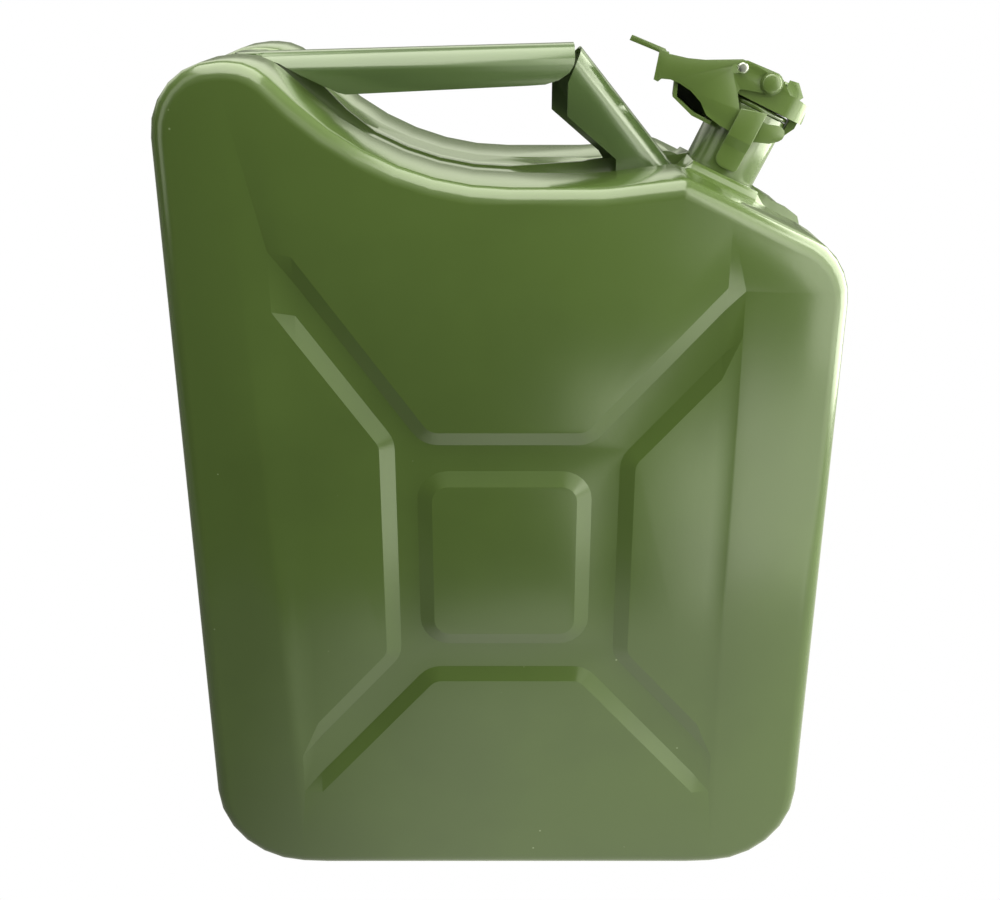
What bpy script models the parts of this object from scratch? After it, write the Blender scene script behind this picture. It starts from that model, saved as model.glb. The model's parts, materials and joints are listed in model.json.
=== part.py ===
"""Pressed-steel fuel can with a carrying handle and a cam-lever closure.

Units are metres, +Z is up, the front face looks towards -Y and the spout leans towards +X.
The origin is the centre of the can's footprint. Pieces on the spout are modelled in the
spout's own frame: u runs down the sloping shoulder, y across the can and w along the neck.
"""
from math import atan2, ceil, cos, pi, radians, sin, sqrt, tan

import bmesh
import bpy
from mathutils import Vector
from mathutils.geometry import delaunay_2d_cdt

MM = 0.001
FIT_GAP = 0.3 * MM          # left between neighbours that touch or are welded
CUT_OVERRUN = 4 * MM        # how far a cutter runs past what it cuts

# Can body: two pressed half shells, welded face to face along the middle
CAN_WIDTH = 348 * MM
CAN_DEPTH = 165 * MM
SHEET = 1.0 * MM
CREST_HEIGHT = 470 * MM
SADDLE_DROP = 59.7 * MM
SADDLE_HEIGHT = CREST_HEIGHT - SADDLE_DROP
CREST_LENGTH = CAN_WIDTH * 0.1489
SWEEP_ANGLE = radians(43)
SPOUT_CORNER_RISE = 4.9 * MM
SPOUT_CORNER_RUN = CAN_WIDTH * 0.115
SLOPE_RUN = CAN_WIDTH * 0.2486
SLOPE_ANGLE = radians(25)
BASE_CORNER_RADIUS = 50 * MM
SIDE_CORNER_RADIUS = 36 * MM
CREST_RADIUS = 28 * MM
SWEEP_RADIUS = CAN_WIDTH * 0.431
RISE_RADIUS = CAN_WIDTH * 0.287
SPOUT_CORNER_RADIUS = 11 * MM
EDGE_RADIUS = 9 * MM

# Seam groove round the can, its weld flange, and the raised seat under the neck
GROOVE_DEPTH = 9 * MM
GROOVE_FLOOR_HALF = 14 * MM
GROOVE_HALF = 31 * MM
FLANGE_LOW = -2.7 * MM        # flange edge against the shoulders at the crest, sides and base
FLANGE_PROUD = 2.5 * MM     # the same, in the saddle under the handle
FLANGE_BLEND = 18 * MM
VALLEY_START = 78 * MM      # the open saddle, from the can's left side
VALLEY_END = 40 * MM        # and from the spout corner, before the handle's foot
VALLEY_DEPTH = 2.4 * MM     # the groove is shallow there
VALLEY_FLANGE = -1.2 * MM
SEAT_HEIGHT = 5 * MM
SEAT_HALF = 26 * MM
SEAT_RIDGE = 0.8 * MM       # weld ridge left along the middle of the seat
SEAT_START = 4.6 * MM       # from the spout corner
SEAT_BLEND = 4.5 * MM
SEAT_LENGTH = 62 * MM
SEAT_FADE = 14 * MM

# Pressed pattern of the two faces
CREASE_X = CAN_WIDTH * 0.3147
FACE_SETBACK_ANGLE = radians(3)
PRESS_DEPTH = 3.4 * MM
PRESS_BEVEL = 8 * MM
PRESS_CORNER_RADIUS = 8.5 * MM
PATTERN_HEIGHT = SADDLE_HEIGHT * 0.507
PATTERN_REACH = SADDLE_HEIGHT * 0.1845      # centre to the top and bottom panels
TOP_PANEL_HALF = CAN_WIDTH * 0.118
SIDE_PANEL_REACH = CAN_WIDTH * 0.1948       # centre to the side panels
SIDE_PANEL_HALF = SADDLE_HEIGHT * 0.1401
TALL_PANEL_HALF = SADDLE_HEIGHT * 0.1662    # the same at the top left, under the crest
BOX_HALF_WIDTH = CAN_WIDTH * 0.1118
BOX_HALF_HEIGHT = SADDLE_HEIGHT * 0.1092
BOX_SHIFT = -1.6 * MM
ARM_FADE_START = CREASE_X
ARM_FADE_END = CAN_WIDTH * 0.3434
ARM_RISE = SADDLE_HEIGHT * 0.2147
ARM_ANGLE = atan2(ARM_RISE, ARM_FADE_END - TOP_PANEL_HALF)
TALL_ARM_RISE = SADDLE_HEIGHT * 0.2682
TALL_ARM_ANGLE = atan2(TALL_ARM_RISE, ARM_FADE_END - TOP_PANEL_HALF)

# Carrying handle: a folded grip on the crest and a folded leg that stands in the groove
HANDLE_SHEET = 1.5 * MM
HANDLE_HALF_WIDTH = 17.5 * MM
HANDLE_FOLD_RADIUS = 13 * MM
GRIP_START = 43 * MM        # from the can's left side to the first fold
GRIP_LIFT = -0.9 * MM       # top of the fold above the crest
GRIP_RISE = 4.4 * MM
LEG_REACH = 52.5 * MM       # grip's end to the spout corner
GRIP_FLANGE = 20.5 * MM
TONGUE_LENGTH = 12 * MM
LEG_TOP_GAP = 4 * MM
LEG_ANGLE = radians(50)
LEG_OVERHANG = 3 * MM       # foot past the spout corner
LEG_FLANGE = 20 * MM
LEG_KNEE_DROP = 34 * MM
LEG_FOOT_WIDTH = 24 * MM
LEG_HEEL_WIDTH = 8.5 * MM    # end of the foot, beyond its heel
FAR_FLANGE_EXTRA = 7 * MM   # the leg's rear flange is this much wider

# Neck, its mouth and the air pipe inside it
NECK_RADIUS = 20 * MM
NECK_WALL = 1.4 * MM
NECK_CENTRE = 29.6 * MM     # from the spout corner, along the slope
NECK_HEIGHT = 41.4 * MM
NECK_DEPTH = 6 * MM
CLOSURE_YAW = radians(-8)   # the closure is welded on slightly turned about the neck
MOUTH_RADIUS = 15.8 * MM
MOUTH_RING_HEIGHT = 2.3 * MM
AIR_PIPE_RADIUS = 4 * MM
AIR_PIPE_WALL = 0.8 * MM
AIR_PIPE_TOP = 39 * MM
AIR_PIPE_BOTTOM = 30 * MM

# Catch straps, one on each side of the neck
STRAP_SHEET = 1.2 * MM
STRAP_WIDTH = 13.6 * MM
STRAP_FOOT = 8 * MM
STRAP_TOP = 40.7 * MM
STRAP_SLANT = 1.7 * MM
STRAP_FOOT_RADIUS = 5 * MM
STRAP_BEND_LOW = 19.5 * MM
STRAP_BEND_HIGH = 24.5 * MM

# Lid: cap and gasket under a folded carrier, hinged on a bracket behind the neck
GASKET_OUTER = 18.3 * MM
GASKET_INNER = 13.7 * MM
GASKET_HEIGHT = 3 * MM
CAP_FLANGE = 2 * MM
CAP_PLUG_RADIUS = 13.2 * MM
CAP_PLUG_DEPTH = 4.6 * MM
CARRIER_SHEET = 1.5 * MM
CARRIER_HALF = 20.3 * MM
CARRIER_LOW = 44.7 * MM
CARRIER_TOP = 55.5 * MM
APRON_RIM = 2 * MM
APRON_LEFT = 45 * MM
APRON_LOW = 24.5 * MM
HINGE_U = 21.6 * MM
HINGE_W = 49 * MM
CARRIER_END = 4 * MM        # hinge pin to the carrier's end
CARRIER_END_LEAN = 1.1 * MM
CARRIER_CORNER = 12 * MM
CARRIER_TAIL_HALF = 10.5 * MM
HINGE_PIN_RADIUS = 1.7 * MM
HINGE_PIN_END = 1 * MM
LUG_HALF = 6.7 * MM
LUG_SHEET = 1.5 * MM
LUG_RADIUS = 3.2 * MM
BRACKET_LOW = 36 * MM
HINGE_EAR_NEAR = LUG_HALF + FIT_GAP * 2.5
HINGE_EAR_FAR = HINGE_EAR_NEAR + CARRIER_SHEET
HINGE_PIN_HALF = HINGE_EAR_FAR + HINGE_PIN_END
STOP_TAB_SHEET = 1.5 * MM
STOP_TAB_Y = -9 * MM
STOP_TAB_U = 10.5 * MM
STOP_TAB_LENGTH = 10.5 * MM
LID_RIVET_RADIUS = 2 * MM
LID_RIVET_HEAD = 3.4 * MM
LID_RIVET_HEIGHT = 1.2 * MM
LID_RIVET_OFFSET = 11.5 * MM

# Lever: two cheeks and a front web with a thumb tab, on a pivot through the carrier
CHEEK_SHEET = 1.5 * MM
CHEEK_INNER = 21.2 * MM
PIVOT_U = 1.5 * MM
PIVOT_W = 56.5 * MM
PIVOT_RADIUS = 3 * MM
PIVOT_HEAD_RADIUS = 5 * MM
PIVOT_HEAD_HEIGHT = 1.7 * MM
WASHER_RADIUS = 5.7 * MM
WASHER_HEIGHT = 0.8 * MM
LEVER_LENGTH = 55.3 * MM    # pivot to the front web
HOOK_REACH = 18.7 * MM      # pivot to the hook's tip
HOOK_DROP = 30.3 * MM
HOOK_TIP_RADIUS = 4.1 * MM
WEB_SHEET = 2.5 * MM
TAB_LENGTH = 19 * MM
TAB_HALF = 17 * MM
TAB_SLIT_LENGTH = 8 * MM
TAB_SLIT_HEIGHT = 0.6 * MM
TAB_SLIT_DEPTH = 6 * MM
SAFETY_PIN_RADIUS = 2 * MM
SAFETY_PIN_HEAD = 2.8 * MM
SAFETY_PIN_HEAD_HEIGHT = 3 * MM
SAFETY_PIN_BACK_HEIGHT = 1.6 * MM
SAFETY_PIN_REACH = 17.1 * MM
SAFETY_PIN_RISE = 0.5 * MM
SLOT_TRAVEL = 3.4 * MM
SLOT_ANGLE = radians(30)

OLIVE = (0.135, 0.205, 0.060)
ARC_STEP = radians(15)
ROUND_SIDES = 32
SMALL_SIDES = 20


def clear_scene():
    for item in list(bpy.data.objects):
        bpy.data.objects.remove(item, do_unlink=True)


def material(name, colour, roughness, metallic):
    made = bpy.data.materials.new(name)
    made.use_nodes = True
    shader = made.node_tree.nodes["Principled BSDF"]
    shader.inputs["Base Color"].default_value = (*colour, 1)
    shader.inputs["Roughness"].default_value = roughness
    shader.inputs["Metallic"].default_value = metallic
    made.diffuse_color = (*colour, 1)
    return made


def add_object(name, mesh, finish=None, parent=None, at=(0, 0, 0)):
    made = bpy.data.objects.new(name, mesh)
    bpy.context.collection.objects.link(made)
    made.location = at
    made.parent = parent
    if finish is not None:
        mesh.materials.append(finish)
    return made


def mesh_from(bm, name):
    bmesh.ops.recalc_face_normals(bm, faces=bm.faces)
    mesh = bpy.data.meshes.new(name)
    bm.to_mesh(mesh)
    bm.free()
    return mesh


def smooth(made, angle=radians(35)):
    made.data.shade_smooth()
    made.data.set_sharp_from_angle(angle=angle)


def cutter(made):
    made.hide_render = True
    made.display_type = "WIRE"
    return made


def combine(target, other, operation):
    step = target.modifiers.new(operation.lower() + "_" + other.name, "BOOLEAN")
    step.operation = operation
    step.solver = "EXACT"
    step.object = cutter(other)
    return target


def smoothstep(value):
    share = min(max(value, 0), 1)
    return share * share * (3 - 2 * share)


def rounded(corners, closed=True):
    """Points round a polygon, with an arc at each corner, each with its outward normal.

    A corner is (x, z, radius). The polygon runs anticlockwise, so outward is to the right.
    """
    points = []
    count = len(corners)
    for index, (x, z, radius) in enumerate(corners):
        here = Vector((x, z))
        if not closed and index in (0, count - 1):
            other = corners[1] if index == 0 else corners[-2]
            run = Vector(other[:2]) - here if index == 0 else here - Vector(other[:2])
            run.normalize()
            points.append((x, z, run.y, -run.x))
            continue
        before = (here - Vector(corners[index - 1][:2])).normalized()
        after = (Vector(corners[(index + 1) % count][:2]) - here).normalized()
        start = atan2(before.y, before.x)
        turn = (atan2(after.y, after.x) - start + pi) % (2 * pi) - pi
        if radius == 0:
            heading = start + turn / 2
            points.append((x, z, sin(heading), -cos(heading)))
            continue
        side = 1 if turn > 0 else -1
        tangent_point = here - before * radius * tan(abs(turn) / 2)
        centre = tangent_point + side * radius * Vector((-sin(start), cos(start)))
        steps = max(2, ceil(abs(turn) / ARC_STEP))
        if radius > BASE_CORNER_RADIUS:
            steps *= 2
        for step in range(steps + 1):
            heading = start + turn * step / steps
            normal = Vector((sin(heading), -cos(heading)))
            place = centre + side * radius * normal
            points.append((place.x, place.y, normal.x, normal.y))
    return points


def prism(points, low, high, axis="Y"):
    """A closed bar with the outline given in (x, z), or in (x, y) for axis Z."""
    bm = bmesh.new()
    if axis == "Y":
        ring = [bm.verts.new((x, low, z)) for x, z in points]
        run = Vector((0, high - low, 0))
    else:
        ring = [bm.verts.new((x, y, low)) for x, y in points]
        run = Vector((0, 0, high - low))
    face = bm.faces.new(ring)
    made = bmesh.ops.extrude_face_region(bm, geom=[face])
    moved = [item for item in made["geom"] if isinstance(item, bmesh.types.BMVert)]
    bmesh.ops.translate(bm, verts=moved, vec=run)
    return bm


def flat(points):
    return [(point[0], point[1]) for point in points]


def turned(profile, sides=ROUND_SIDES, axis="Z"):
    """A closed round piece from a closed profile of (radius, height), spun about axis."""
    bm = bmesh.new()
    rings = []
    for step in range(sides):
        angle = 2 * pi * step / sides
        ring = []
        for radius, height in profile:
            if axis == "Z":
                place = (radius * cos(angle), radius * sin(angle), height)
            else:
                place = (radius * cos(angle), height, radius * sin(angle))
            ring.append(bm.verts.new(place))
        rings.append(ring)
    for step, ring in enumerate(rings):
        beside = rings[(step + 1) % sides]
        for index in range(len(profile)):
            after = (index + 1) % len(profile)
            if profile[index][0] == 0 and profile[after][0] == 0:
                continue
            bm.faces.new((ring[index], beside[index], beside[after], ring[after]))
    centre = [vert for ring in rings for vert, (radius, _) in zip(ring, profile) if radius == 0]
    bmesh.ops.remove_doubles(bm, verts=centre, dist=FIT_GAP / ROUND_SIDES)
    return bm


def rod(radius, low, high, sides=SMALL_SIDES, axis="Y"):
    return turned([(0, low), (radius, low), (radius, high), (0, high)], sides, axis)


# The can's outline

SIDE_X = CAN_WIDTH / 2
CREST_X = -SIDE_X + CREST_LENGTH
SWEEP_FOOT_X = CREST_X + (CREST_HEIGHT - SADDLE_HEIGHT) / tan(SWEEP_ANGLE)
SPOUT_X = SIDE_X - SLOPE_RUN
SPOUT_Z = SADDLE_HEIGHT + SPOUT_CORNER_RISE
SHOULDER_Z = SPOUT_Z - SLOPE_RUN * tan(SLOPE_ANGLE)
HALF_DEPTH = CAN_DEPTH / 2


def slope_corner(run):
    """A plain point on the sloping shoulder, run metres along it from the spout corner."""
    return (SPOUT_X + run * cos(SLOPE_ANGLE), SPOUT_Z - run * sin(SLOPE_ANGLE), 0)


def can_outline():
    corners = [
        (-SIDE_X, 0, BASE_CORNER_RADIUS),
        (-CREASE_X, 0, 0),
        (CREASE_X, 0, 0),
        (SIDE_X, 0, BASE_CORNER_RADIUS),
        (SIDE_X, SHOULDER_Z, SIDE_CORNER_RADIUS),
        slope_corner(SEAT_LENGTH),
        slope_corner(SEAT_LENGTH - SEAT_FADE / 2),
        slope_corner(SEAT_LENGTH - SEAT_FADE),
        slope_corner(NECK_CENTRE),
        slope_corner(SEAT_START + SEAT_BLEND),
        slope_corner(SEAT_START + SEAT_BLEND / 2),
        slope_corner(SEAT_START),
        (SPOUT_X, SPOUT_Z, SPOUT_CORNER_RADIUS),
        (SPOUT_X - SPOUT_CORNER_RUN, SADDLE_HEIGHT, RISE_RADIUS),
        (SWEEP_FOOT_X, SADDLE_HEIGHT, SWEEP_RADIUS),
        (CREST_X, CREST_HEIGHT, CREST_RADIUS),
        (-SIDE_X, CREST_HEIGHT, SIDE_CORNER_RADIUS),
    ]
    return rounded(corners)


def slope_run(x, z):
    """How far along the slope a point lies, and minus one where it isn't on the slope."""
    run = (x - SPOUT_X) * cos(SLOPE_ANGLE) + (SPOUT_Z - z) * sin(SLOPE_ANGLE)
    off = abs((x - SPOUT_X) * sin(SLOPE_ANGLE) + (z - SPOUT_Z) * cos(SLOPE_ANGLE))
    return run if off < SHEET else -1


def seat_share(x, z):
    run = slope_run(x, z)
    rise = smoothstep((run - SEAT_START) / SEAT_BLEND)
    fall = smoothstep((SEAT_LENGTH - run) / SEAT_FADE)
    return rise * fall


def flange_offset(x, z):
    if z < SHOULDER_Z or x < CREST_X:
        return FLANGE_LOW
    share = smoothstep((x - CREST_X) / FLANGE_BLEND) * smoothstep((SIDE_X - x) / FLANGE_BLEND)
    return FLANGE_LOW + (FLANGE_PROUD - FLANGE_LOW) * share


def valley_share(x, z):
    """One in the open saddle, where the groove is shallow, and zero round the rest."""
    if z < SHOULDER_Z or x < CREST_X:
        return 0
    rise = smoothstep((x + SIDE_X - VALLEY_START) / FLANGE_BLEND)
    fall = smoothstep((SPOUT_X - VALLEY_END - x) / FLANGE_BLEND)
    return rise * fall


def section(x, z):
    """The sheet's outer surface from the weld flange to the shoulder: (distance, offset)."""
    seat = seat_share(x, z)
    valley = valley_share(x, z)
    depth = GROOVE_DEPTH + (VALLEY_DEPTH - GROOVE_DEPTH) * valley
    low = GROOVE_FLOOR_HALF
    wide = GROOVE_HALF - low
    groove = [
        (low, -depth),
        (low + wide * 0.22, -depth * 0.9),
        (low + wide * 0.5, -depth * 0.5),
        (low + wide * 0.78, -depth * 0.1),
        (GROOVE_HALF, 0),
    ]
    step = GROOVE_HALF - SEAT_HALF
    raised = [
        (SEAT_HALF - step, SEAT_HEIGHT),
        (SEAT_HALF, SEAT_HEIGHT),
        (SEAT_HALF + step * 0.35, SEAT_HEIGHT * 0.75),
        (SEAT_HALF + step * 0.65, SEAT_HEIGHT * 0.25),
        (GROOVE_HALF, 0),
    ]
    profile = []
    for (y, offset), (seat_y, seat_offset) in zip(groove, raised):
        profile.append((y + (seat_y - y) * seat, offset + (seat_offset - offset) * seat))
    open_flange = flange_offset(x, z)
    open_flange += (VALLEY_FLANGE - open_flange) * valley
    flange = open_flange * (1 - seat) + (SEAT_HEIGHT + SEAT_RIDGE) * seat
    face_of_flange = FIT_GAP / 2 + SHEET
    return [(face_of_flange, flange), (face_of_flange, profile[0][1])] + profile


def setback(x):
    return max(0, abs(x) - CREASE_X) * tan(FACE_SETBACK_ANGLE)


# The pressed pattern: a cross of grooves between raised panels, and a raised box

def side_of(line, x, z):
    """Signed distance of a point from a line, positive on the line's right."""
    (x0, z0), (x1, z1) = line
    run = Vector((x1 - x0, z1 - z0)).normalized()
    return (x - x0) * run.y - (z - z0) * run.x


PANELS = {
    "top": ((-1, 1), (1, 1)),
    "right": ((1, 1), (1, -1)),
    "bottom": ((1, -1), (-1, -1)),
    "left": ((-1, -1), (-1, 1)),
}


def arm_corner(side, up, wide, offset=0):
    """Where a panel's edge turns along an arm, from the pattern's centre, and the arm's slope.

    side and up name the quarter that the arm lies in. wide is true for the top and bottom
    panels, and offset draws the edge out into the groove.
    """
    tall = side < 0 < up
    angle = TALL_ARM_ANGLE if tall else ARM_ANGLE
    if wide:
        return TOP_PANEL_HALF + offset * tan(angle / 2), PATTERN_REACH - offset, angle
    half = TALL_PANEL_HALF if tall else SIDE_PANEL_HALF
    return SIDE_PANEL_REACH - offset, half + offset * tan((pi / 2 - angle) / 2), angle


def arm_point(side, up, wide, reach, offset=0):
    """The place on the same edge that lies at reach from the middle of the face."""
    x, z, angle = arm_corner(side, up, wide, offset)
    return side * reach, PATTERN_HEIGHT + up * (z + (reach - x) * tan(angle))


def panel_corners(name, offset=0):
    """A panel's edge as an open line of corners, with the panel on its left."""
    wide = name in ("top", "bottom")
    line = []
    for side, up in PANELS[name]:
        x, z, _ = arm_corner(side, up, wide, offset)
        pair = [arm_point(side, up, wide, ARM_FADE_END, offset),
                (side * x, PATTERN_HEIGHT + up * z)]
        line.extend(reversed(pair) if line else pair)
    return line


def box_corners(offset=0):
    wide = BOX_HALF_WIDTH + offset
    high = BOX_HALF_HEIGHT + offset
    corners = [(-wide, -high), (wide, -high), (wide, high), (-wide, high)]
    return [(x + BOX_SHIFT, z + PATTERN_HEIGHT) for x, z in corners]


def pressed_depth(x, z, away=None):
    """Depth of the pressing at a point, or at a known distance away from the nearest panel."""
    nearest = away
    if away is None:
        shapes = [panel_corners(name) for name in PANELS]
        shapes.append(box_corners() + box_corners()[:1])
        nearest = min(max(side_of(pair, x, z) for pair in zip(line, line[1:]))
                      for line in shapes)
    fade = smoothstep((ARM_FADE_END - abs(x)) / (ARM_FADE_END - ARM_FADE_START))
    return PRESS_DEPTH * min(max(nearest / PRESS_BEVEL, 0), 1) * fade


def pattern_lines():
    """The creases of the pattern, as open and closed runs of points."""
    lines = []
    for offset in (0, PRESS_BEVEL):
        radius = PRESS_CORNER_RADIUS + offset
        for name in PANELS:
            corners = panel_corners(name, offset)
            middle = [(x, z, radius) for x, z in corners[1:-1]]
            ends = [(*corners[0], 0), (*corners[-1], 0)]
            lines.append((offset, flat(rounded([ends[0], *middle, ends[1]], closed=False))))
        box = [(x, z, radius) for x, z in box_corners(offset)]
        loop = flat(rounded(box))
        lines.append((offset, loop + loop[:1]))
    return lines


def half_shell(name, finish, side):
    """One pressed half: side is -1 for the front and 1 for the rear."""
    outline = can_outline()
    rings = [section(x, z) for x, z, _, _ in outline]
    bm = bmesh.new()
    columns = []
    for (x, z, nx, nz), ring in zip(outline, rings):
        column = []
        for away, offset in ring:
            column.append(bm.verts.new((x + nx * offset, side * away, z + nz * offset)))
        steps = 5
        for step in range(steps + 1):
            angle = pi / 2 * step / steps
            inset = EDGE_RADIUS * (1 - cos(angle))
            px = x - nx * inset
            pz = z - nz * inset
            away = HALF_DEPTH - setback(px) - EDGE_RADIUS * (1 - sin(angle))
            column.append(bm.verts.new((px, side * away, pz)))
        columns.append(column)
    for index, column in enumerate(columns):
        beside = columns[(index + 1) % len(columns)]
        for row in range(len(column) - 1):
            bm.faces.new((column[row], beside[row], beside[row + 1], column[row + 1]))
    fill_face(bm, [column[-1] for column in columns], side)
    shell = add_object(name, mesh_from(bm, name), finish)
    wall = shell.modifiers.new("sheet", "SOLIDIFY")
    wall.thickness = SHEET
    wall.offset = -1
    wall.use_even_offset = True
    graph = bpy.context.evaluated_depsgraph_get()
    solid = bpy.data.meshes.new_from_object(shell.evaluated_get(graph))
    for vert in solid.vertices:
        vert.co.y = side * max(side * vert.co.y, FIT_GAP / 2)
    shell.modifiers.clear()
    shell.data = solid
    smooth(shell, radians(20))
    return shell


def fill_face(bm, border, side):
    """Closes the half shell with its pressed face, creased along the pattern's lines."""
    points = [Vector((vert.co.x, vert.co.z)) for vert in border]
    count = len(points)
    edges = [(index, (index + 1) % count) for index in range(count)]
    for place in (-CREASE_X, CREASE_X):
        high = [index for index in range(count) if points[index].y > PATTERN_HEIGHT]
        low = [index for index in range(count) if points[index].y <= PATTERN_HEIGHT]
        top = min(high, key=lambda index: abs(points[index].x - place))
        foot = min(low, key=lambda index: abs(points[index].x - place))
        edges.append((foot, top))
    levels = {}
    for offset, line in pattern_lines():
        start = len(points)
        levels.update((start + step, offset) for step in range(len(line)))
        points.extend(Vector(point) for point in line)
        edges.extend((start + step, start + step + 1) for step in range(len(line) - 1))
    for across, up in PANELS["top"] + PANELS["bottom"]:
        start = len(points)
        for wide in (False, True):
            points.append(Vector(arm_point(across, up, wide, ARM_FADE_END)))
        edges.append((start, start + 1))
    found = delaunay_2d_cdt(points, edges, [], 0, FIT_GAP / 10)
    places, _, faces, sources = found[0], found[1], found[2], found[3]
    verts = []
    for place, came_from in zip(places, sources):
        known = [index for index in came_from if index < count]
        if known:
            verts.append(border[known[0]])
            continue
        level = [levels[index] for index in came_from if index in levels]
        depth = pressed_depth(place.x, place.y, level[0] if level else None)
        away = HALF_DEPTH - setback(place.x) - depth
        verts.append(bm.verts.new((place.x, side * away, place.y)))
    rim = [Vector((vert.co.x, vert.co.z)) for vert in border]
    for face in faces:
        middle = sum((places[index] for index in face), Vector((0, 0))) / len(face)
        if inside(middle, rim):
            bm.faces.new([verts[index] for index in face])
    loose = [vert for vert in verts if not vert.link_faces]
    bmesh.ops.delete(bm, geom=loose, context="VERTS")


def inside(point, loop):
    crossings = False
    for here, after in zip(loop, loop[1:] + loop[:1]):
        if (here.y > point.y) != (after.y > point.y):
            share = (point.y - here.y) / (after.y - here.y)
            if point.x < here.x + share * (after.x - here.x):
                crossings = not crossings
    return crossings


# Handle

def folded(name, outline, fold, far_outline, finish):
    """A sheet folded into a channel: a bar with two rounded edges, hollowed from below.

    outline and far_outline are the flanges' side views; fold is the line of the top of the
    fold, which both share as their last two points.
    """
    half = HANDLE_HALF_WIDTH
    bars = []
    for label, shape, low, high in (("front", outline, -half, 0), ("rear", far_outline, 0, half)):
        bm = prism(shape, low, high)
        bars.append(add_object(name + "_" + label + "_bar", mesh_from(bm, name)))
    body = add_object(name, bars[0].data.copy(), finish)
    bpy.data.objects.remove(bars[0], do_unlink=True)
    combine(body, bars[1], "UNION")
    (x0, z0), (x1, z1) = fold
    run = Vector((x1 - x0, z1 - z0)).normalized()
    out = Vector((run.y, -run.x))
    reach = CAN_DEPTH
    for label, radius, inset, operation in (
        ("round", HANDLE_FOLD_RADIUS, 0, "INTERSECT"),
        ("hollow", HANDLE_FOLD_RADIUS - HANDLE_SHEET, HANDLE_SHEET, "DIFFERENCE"),
    ):
        wide = half - inset
        corners = [(-wide, -reach, 0), (wide, -reach, 0), (wide, -inset, radius),
                   (-wide, -inset, radius)]
        loop = flat(rounded(corners))
        bm = bmesh.new()
        ends = []
        for place in (-CAN_WIDTH, CAN_WIDTH):
            ring = []
            for y, depth in loop:
                spot = Vector((x0, z0)) + run * place + out * depth
                ring.append(bm.verts.new((spot.x, y, spot.y)))
            ends.append(ring)
            bm.faces.new(ring)
        for index in range(len(loop)):
            after = (index + 1) % len(loop)
            bm.faces.new((ends[0][index], ends[0][after], ends[1][after], ends[1][index]))
        combine(body, add_object(name + "_" + label, mesh_from(bm, name)), operation)
    return body


GRIP_NOSE_SHARES = ((0.6, 0.26), (1.15, 0.54), (1.7, 0.79), (2.05, 0.95), (2.25, 1))
GRIP_TAIL_SHARES = ((1.2, 1), (0.75, 0.97), (0.4, 0.86), (0.14, 0.68), (0.03, 0.5), (0, 0.34))


def handle_grip(finish):
    start_x = -SIDE_X + GRIP_START
    end_x = SPOUT_X - LEG_REACH
    top = CREST_HEIGHT + GRIP_LIFT
    tongue_low = CREST_HEIGHT + FLANGE_LOW + FIT_GAP
    high = top + GRIP_RISE
    side = [(start_x, tongue_low)]
    for along, drop in GRIP_NOSE_SHARES:
        side.append((start_x + GRIP_FLANGE * along, top - GRIP_FLANGE * drop))
    for along, drop in GRIP_TAIL_SHARES:
        side.append((end_x - GRIP_FLANGE * along, high - GRIP_FLANGE * drop))
    side += [(end_x, high), (start_x, top)]
    body = folded("carry_handle", side, ((end_x, top + GRIP_RISE), (start_x, top)), side, finish)
    return body


def handle_tongue(grip, finish):
    """The flat end of the grip, which lies on the weld flange at the crest."""
    start_x = -SIDE_X + GRIP_START
    low = CREST_HEIGHT + FLANGE_LOW + FIT_GAP
    wide = HANDLE_HALF_WIDTH - HANDLE_SHEET
    narrow = wide / 2
    plan = [
        (start_x - TONGUE_LENGTH, -narrow, 0),
        (start_x - TONGUE_LENGTH * 0.7, -wide, 0),
        (start_x + HANDLE_SHEET / 2, -wide, 0),
        (start_x + HANDLE_SHEET * 2, -narrow, 0),
        (start_x + HANDLE_SHEET * 2, narrow, 0),
        (start_x + HANDLE_SHEET / 2, wide, 0),
        (start_x - TONGUE_LENGTH * 0.7, wide, 0),
        (start_x - TONGUE_LENGTH, narrow, 0),
    ]
    bm = prism(flat(plan), low, low + HANDLE_SHEET * 0.92, "Z")
    tongue = add_object("handle_tongue_plate", mesh_from(bm, "handle_tongue_plate"))
    combine(grip, tongue, "UNION")


def handle_leg(finish):
    top_x = SPOUT_X - LEG_REACH + LEG_TOP_GAP
    top_z = CREST_HEIGHT + GRIP_LIFT + GRIP_RISE - LEG_TOP_GAP / 2
    floor = GROOVE_DEPTH * 0.9 - FIT_GAP * 2
    foot_x = SPOUT_X + LEG_OVERHANG
    foot_z = top_z - (foot_x - top_x) * tan(LEG_ANGLE)
    rise = SPOUT_CORNER_RISE / SPOUT_CORNER_RUN
    heel_x = foot_x - LEG_HEEL_WIDTH
    heel_z = SPOUT_Z - (SPOUT_X - heel_x) * rise - floor
    toe_x = heel_x - LEG_FOOT_WIDTH
    toe_z = SPOUT_Z - (SPOUT_X - toe_x) * rise - floor
    shapes = []
    for extra in (0, FAR_FLANGE_EXTRA):
        edge_x = top_x - extra - HANDLE_SHEET * 5
        shapes.append([
            (edge_x, top_z - LEG_FLANGE * 0.85),
            (edge_x, top_z - LEG_KNEE_DROP),
            (toe_x - extra, SADDLE_HEIGHT + SPOUT_CORNER_RISE),
            (toe_x, toe_z),
            (heel_x, heel_z),
            (foot_x, foot_z),
            (top_x, top_z),
        ])
    leg = folded("handle_leg", shapes[0], ((foot_x, foot_z), (top_x, top_z)), shapes[1], finish)
    slot = FIT_GAP * 1.5 + SHEET
    end = foot_x + CUT_OVERRUN
    loop = [(toe_x - LEG_FLANGE, toe_z - LEG_FLANGE), (end, toe_z - LEG_FLANGE),
            (end, SPOUT_Z + FLANGE_PROUD + FIT_GAP),
            (toe_x - LEG_FLANGE, SPOUT_Z + FLANGE_PROUD + FIT_GAP)]
    notch = add_object("seam_notch", mesh_from(prism(loop, -slot, slot), "seam_notch"))
    combine(leg, notch, "DIFFERENCE")
    return leg


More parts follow.
